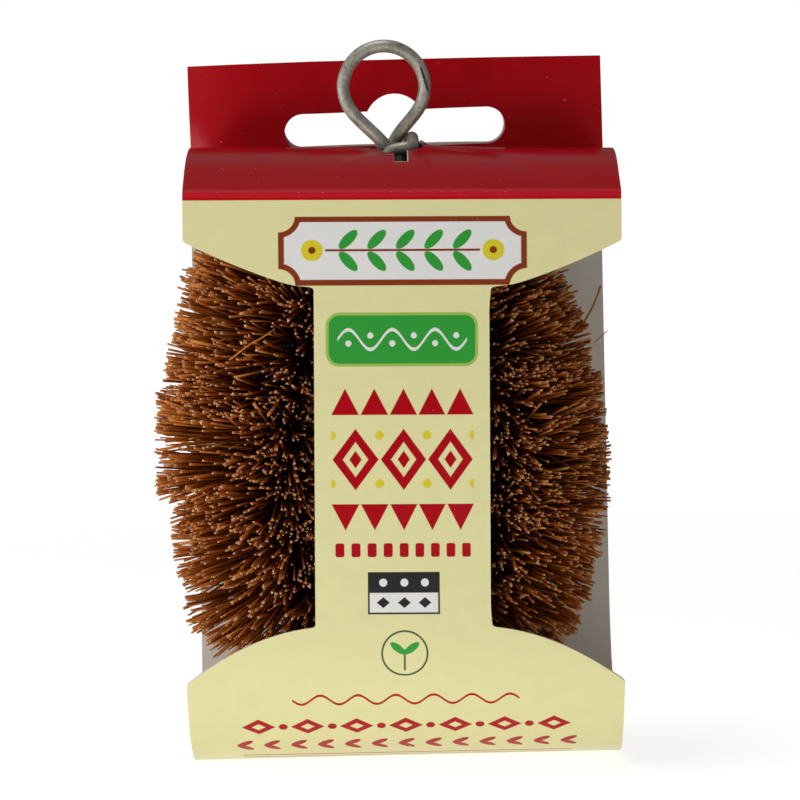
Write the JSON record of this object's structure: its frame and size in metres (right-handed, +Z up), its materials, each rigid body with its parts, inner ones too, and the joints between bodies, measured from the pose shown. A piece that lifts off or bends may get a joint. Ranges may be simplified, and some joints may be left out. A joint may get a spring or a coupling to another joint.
{
  "type": "dish brush",
  "caption": "Small coir scrub brush: fibre held in a twisted wire that is bent to a teardrop, with a wire hanging ring, in a folded card sleeve with side windows and a hang slot.",
  "frame": {"origin": "top of the hang slot's hump, where a peg carries the sleeve, in the plane of the sleeve's back", "axes": "+X to the right as the front label is read, +Y towards the back, +Z up"},
  "size_m": [0.066, 0.0454, 0.1014],
  "materials": {
    "card": "satin print outside, unprinted inside",
    "wire": "galvanised, dull",
    "coir": "natural fibre"
  },
  "bodies": {
    "root": {"card_sleeve": "card", "core_wire": "wire", "coir_bundle_01": "coir", "coir_bundle_02": "coir", "coir_bundle_03": "coir", "coir_bundle_04": "coir", "coir_bundle_05": "coir", "coir_bundle_06": "coir", "coir_bundle_07": "coir", "coir_bundle_08": "coir", "coir_bundle_09": "coir", "coir_bundle_10": "coir", "coir_bundle_11": "coir", "coir_bundle_12": "coir", "coir_bundle_13": "coir", "coir_bundle_14": "coir"}
  },
  "joints": []
}
